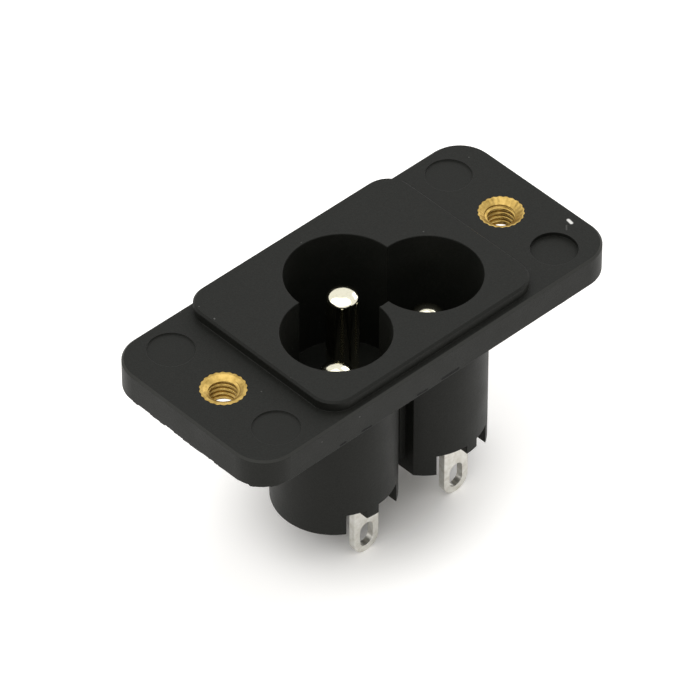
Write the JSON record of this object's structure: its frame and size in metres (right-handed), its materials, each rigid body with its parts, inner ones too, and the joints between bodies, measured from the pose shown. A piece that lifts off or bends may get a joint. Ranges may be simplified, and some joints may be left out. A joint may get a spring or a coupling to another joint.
{
  "type": "panel appliance inlet",
  "caption": "Screw-mounted panel power inlet: flange with threaded inserts, raised bezel round a cloverleaf recess with round pins, and solder tags below barrels behind.",
  "frame": {"origin": "on the surface that the tag ends stand on, under the middle of the flange", "axes": "+Z out of the mouth, +X along the flange from the left insert to the right, -Y towards the side with the line and neutral poles"},
  "size_m": [0.0436, 0.0204, 0.0243],
  "materials": {
    "black_moulding": "fine matt moulded surface",
    "insert_brass": "turned brass",
    "pin_plating": "bright nickel plate",
    "tag_plating": "satin tin plate"
  },
  "bodies": {
    "root": {"housing": "black_moulding", "insert_left": "insert_brass", "insert_right": "insert_brass", "pin_line": "pin_plating", "pin_neutral": "pin_plating", "pin_earth": "pin_plating", "tag_line": "tag_plating", "tag_neutral": "tag_plating", "tag_earth": "tag_plating"}
  },
  "joints": []
}
